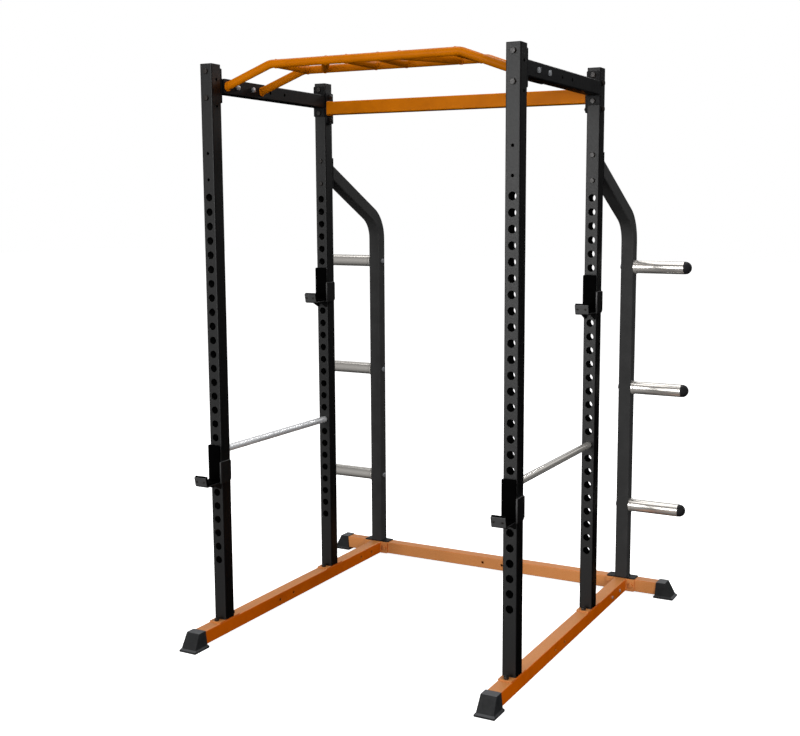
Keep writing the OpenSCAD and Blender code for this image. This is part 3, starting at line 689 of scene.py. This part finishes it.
piece("post_foot_screws",
      [hex_bolt([side * side_x + way * 32, beam_y, rail_z - HALF], Z, TUBE + THIN_PLATE - 1.2,
                8.0, 13.0, 5.3, 1.25) for side in SIDES for way in SIDES],
      "dark_bolt_steel", replaces=["post_base_screws"])
piece("peg_fasteners",
      [hex_bolt([side * (side_x - HALF), beam_y, z], side * X, TUBE + 14, 12.0, 18.0, 7.5, 1.75)
       for side in SIDES for z in peg_z], "zinc_plate", replaces=["peg_bolts"])

# ---------- pegs ----------
PEG_R = 24.75
COLLAR_R = PEG_R + 2.5
peg_end = corners("right_pegs")[1][0]
SEAT_R = PEG_R - 0.45
collar_rows = [(0, SEAT_R), (0, COLLAR_R - 0.3), (0.4, COLLAR_R), (8.4, COLLAR_R),
               (9.5, COLLAR_R - 0.6), (10, COLLAR_R - 1.8), (10, SEAT_R)]
piece("peg_collar_rings",
      [turned(collar_rows, [side * (side_x + HALF), beam_y, z], side * X, 48, close_rows=True)
       for side in SIDES for z in peg_z], "chrome_plate", replaces=["peg_collars"])
dome = np.linspace(0, TURN / 4, 17)
CAP_R = PEG_R - 0.25
cap_rows = [(-14, 0), (-14, 20.6), (-12.5, 21.7), (0, 21.7), (0, CAP_R - 0.5), (0.5, CAP_R)]
cap_rows += [(4 + 24 * math.sin(t), CAP_R * math.cos(t)) for t in dome]
piece("peg_caps",
      [turned(cap_rows, [side * peg_end, beam_y, z], side * X, 48)
       for side in SIDES for z in peg_z], "cap_plastic", replaces=["peg_end_caps"])

# ---------- caps of the uprights ----------
cap_levels = [(-8, 2.8), (-0.01, 2.8), (0, 0.0), (1.2, 0.0), (1.8, 0.35), (2.2, 1.0),
              (2.45, 2.2), (2.5, 6.0)]
piece("upright_plugs",
      [slab(square(HALF, HALF, CORNER), cap_levels, np.array([side * side_x, y, upright_top]),
            X, Y, Z) for side in SIDES for y in (front_y, rear_y)], "cap_plastic",
      replaces=["upright_top_caps"])


# ---------- feet ----------
def boot(inner, outwards):
    """A moulded foot: rounded rectangles one above the other, each with its own inner end, outer
    end, half width and corner radius; the outer face and both sides lean in above a flared rim."""
    across = np.cross(Z, outwards)
    levels = [(0, 1.0, 79.0, 35.0, 2.0), (0.8, 0.0, 80.0, 36.0, 2.5),
              (6.2, 0.0, 80.0, 36.0, 2.5), (7.2, 0.8, 79.0, 35.2, 2.2),
              (11.0, 4.2, 73.2, 31.6, 2.0), (12.2, 4.8, 72.2, 31.0, 2.0),
              (61.6, 8.8, 46.2, 27.8, 1.6), (62.6, 9.2, 45.6, 27.4, 1.5),
              (63.0, 10.0, 44.8, 26.8, 1.4)]
    rows = []
    for z, near, far, half, radius in levels:
        flat = rounded([[near, -half], [far, -half], [far, half], [near, half]], radius, 5)
        rows.append(inner + flat[:, :1] * outwards + flat[:, 1:] * across + z * Z)
    points, faces = grid(np.stack(rows))
    count = len(rows[0])
    faces += [list(range(count))[::-1], list(range(len(points) - count, len(points)))]
    return points, faces


for name in ("front_left_foot", "front_right_foot", "rear_left_foot", "rear_right_foot"):
    low, high = corners(name)
    if name.startswith("front"):
        inner, outwards = np.array([(low[0] + high[0]) / 2, high[1], 0]), -Y
    else:
        side = 1 if "right" in name else -1
        inner = np.array([low[0] if side > 0 else high[0], (low[1] + high[1]) / 2, 0])
        outwards = side * X
    piece(name.replace("foot", "boot"), [boot(inner, outwards)], "foot_rubber", replaces=[name])

# ---------- hooks ----------
HOOK_UP, HOOK_DOWN = 25.0, 113.0
GAP, STEEL, LINER = 0.3, 5.0, 8.0
TRAY, LIP, LEAN = 86.5, 35.0, 7.3
low_z = -HOOK_DOWN
plate_out = GAP + STEEL
strip = rounded([[GAP, HOOK_UP], [plate_out, HOOK_UP], [plate_out, low_z + STEEL],
                 [TRAY - STEEL + 1, low_z + STEEL], [TRAY + LEAN - STEEL, low_z + LIP + 1],
                 [TRAY + LEAN, low_z + LIP], [TRAY, low_z], [GAP, low_z]],
                [1, 1, 2, 2, 1, 1, 7, 6], 5)
lining = rounded([[plate_out, HOOK_UP], [plate_out + LINER, HOOK_UP],
                  [plate_out + LINER, low_z + STEEL + LINER],
                  [TRAY - STEEL - LINER + 2.5, low_z + STEEL + LINER],
                  [TRAY + LEAN - STEEL - LINER + 0.5, low_z + LIP + 5],
                  [TRAY + LEAN - STEEL + 0.7, low_z + LIP + 5],
                  [TRAY - STEEL + 0.9, low_z + STEEL + 0.05], [plate_out, low_z + STEEL + 0.05]],
                 [0.3, 2.5, 5, 5, 2, 1.5, 1.5, 1.5], 5)
guard_top, guard_low, guard_back = -34.0, low_z - 2, -HALF - 20
guard = rounded([[guard_back + 5, guard_top], [plate_out + LINER, guard_top],
                 [plate_out + LINER, guard_low + 2], [guard_back + 10, guard_low + 2],
                 [guard_back, guard_low + 10], [guard_back, guard_top - 4]],
                [1.2, 1, 1, 1.5, 1.5, 1.5], 4)
gusset = rounded([[GAP, low_z + 1], [49, low_z + 1], [49, low_z], [GAP, low_z - 23.5]],
                 [0.2, 0.2, 0.5, 1.5], 3)


def shoulder(height):
    """The top edge of a hook's upright plate drops by a 5 mm quarter round at both sides."""
    near = np.clip(np.abs(height) - (HALF - 5), 0, 5)
    return HOOK_UP - (5 - math.sqrt(25 - near ** 2))


def stations(low, high, radius, extra=5.0):
    """Rows across a hook: the rounded rims, with more rows where the shoulder drops."""
    rows = rim(low, high, radius)
    rounds = np.linspace(0.15, 1, 7) * extra
    more = [(low + d, 0.0) for d in rounds if d > radius] + [(high - d, 0.0) for d in rounds
                                                             if d > radius]
    rows = np.concatenate([rows, np.array(more)])
    return rows[np.argsort(rows[:, 0], kind="stable")]


for name in ("front_left", "front_right", "rear_left", "rear_right"):
    pin = middle(name + "_hook_pin")
    face = corners(name + "_upright")[0][1]
    origin = np.array([pin[0], face, pin[2]])
    ahead = -Y
    body = name + "_hook"
    bracket = [slab(strip, stations(-HALF, HALF + GAP + 0.2, 0.8), origin, ahead, Z, X,
                    shoulder),
               slab(guard, rim(HALF + GAP, HALF + GAP + 6, 0.8), origin, ahead, Z, X)]
    bracket += [slab(gusset, rim(x, x + 4, 0.5), origin, ahead, Z, X) for x in (-20, 16)]
    piece(name + "_bracket", bracket, "hook_paint", body, [name + "_hook"])
    piece(name + "_lining", [slab(lining, stations(-HALF, HALF, 1.2), origin, ahead, Z, X,
                                  shoulder)], "liner_plastic", body, [name + "_hook_liner"])
    head = [(11, 0), (11, 1.9), (0, 1.95), (0, 3.9), (-0.5, 4.0), (-1.5, 3.7), (-2.1, 3.0),
            (-2.2, 2.5), (-2.2, 1.75, 1.5), (-1.0, 1.7, 1.45), (-1.0, 0, 1.45)]
    into_lip = unit(np.array([0, LIP, LEAN]))
    piece(name + "_lip_screws",
          [turned(head, origin + [x, -(TRAY + LEAN * 20 / LIP) - 0.05, low_z + 20], into_lip)
           for x in (-15, 15)], "dark_bolt_steel", body, [name + "_hook_screws"])


# ---------- floor, light and camera ----------
def area_light(name, place, target, size, power, tint="FFFFFF"):
    """A softbox; size is its width and height in metres."""
    data = bpy.data.lights.new(name, "AREA")
    data.shape = "RECTANGLE"
    data.size, data.size_y = size
    data.energy = power
    data.color = colour(tint)[:3]
    lamp = bpy.data.objects.new(name, data)
    lamp.location = place
    way = unit(np.array(target, float) - np.array(place, float))
    flat = math.hypot(way[0], way[1])
    lamp.rotation_euler = (math.atan2(flat, -way[2]), 0, math.atan2(way[1], way[0]) - TURN / 4)
    lamp.visible_camera = False
    bpy.context.scene.collection.objects.link(lamp)
    return lamp


area_light("front_left_softbox", (-1.3, -5.0, 1.7), (0.0, 0.0, 1.0), (1.6, 3.2), 120)
fill = area_light("right_fill", (5.0, -2.4, 2.2), (0.0, 0.0, 1.0), (2.0, 2.4), 210)
fill.visible_glossy = False        # it lights the sides but leaves no streak on the chrome
area_light("rear_edge_strip", (0.4, 6.0, 3.8), (0.3, 0.0, 0.4), (0.6, 1.0), 45)
area_light("top_softbox", (-0.6, 0.6, 4.6), (0.0, 0.0, 0.0), (3.5, 3.5), 100)

floor_mesh = bpy.data.meshes.new("studio_floor")
reach = np.array([-30, 30])
floor_points = np.stack(np.meshgrid(reach, reach, indexing="ij"), -1).reshape(-1, 2)
floor_mesh.from_pydata([(x, y, -0.0005) for x, y in floor_points.tolist()], [], [(0, 2, 3, 1)])
floor = bpy.data.objects.new("studio_floor", floor_mesh)
bpy.context.scene.collection.objects.link(floor)
material, tree, shader, place = finish("pale_studio_floor", Base_Color=colour("F4F4F4"),
                                       Roughness=0.9)
shader.inputs["Specular IOR Level"].default_value = 0.0
shader.inputs["Emission Color"].default_value = (1, 1, 1, 1)
shader.inputs["Emission Strength"].default_value = 0.9
floor_mesh.materials.append(material)
floor.visible_glossy = False
floor.visible_diffuse = False

world = bpy.data.worlds.new("studio_air")
world.use_nodes = True
tree = world.node_tree
tree.nodes.clear()
# the air glows from the front, and low behind the cage; beside and below it is dark
way = add(tree, "SeparateXYZ", {0: add(tree, "TexCoord").outputs["Generated"]})
front = spread(tree, way.outputs[1], 0.4, 0.0, -1.0, -0.1)
behind = spread(tree, way.outputs[1], 0.0, 0.8, 0.1, 0.8)
over = spread(tree, way.outputs[2], 0.0, 1.0, 0.14, 0.34)
behind = add(tree, "Math", {0: behind, 1: over}, operation="MULTIPLY").outputs[0]
glow = add(tree, "Math", {0: front, 1: behind}, operation="ADD").outputs[0]
seen = add(tree, "LightPath").outputs["Is Camera Ray"]
soft = add(tree, "Background", {"Color": (1, 1, 1, 1), "Strength": glow})
backdrop = add(tree, "Background", {"Color": (1, 1, 1, 1), "Strength": 1.0})
both = add(tree, "MixShader", {0: seen, 1: soft.outputs[0], 2: backdrop.outputs[0]})
add(tree, "OutputWorld", {"Surface": both.outputs[0]})
bpy.context.scene.world = world
bpy.context.scene.view_settings.view_transform = "Standard"

lens = bpy.data.cameras.new("camera")
lens.sensor_width = 36.0
lens.lens = 1139.38 / 800 * 36
lens.shift_x = -(449.45 - 400) / 800
lens.shift_y = -(368 - 358.41) / 800
camera = bpy.data.objects.new("camera", lens)
camera.location = (1.97821, -3.68895, 1.54832)
camera.rotation_euler = (math.radians(90 - 7.48), 0, math.radians(26.85))
bpy.context.scene.collection.objects.link(camera)
bpy.context.scene.camera = camera
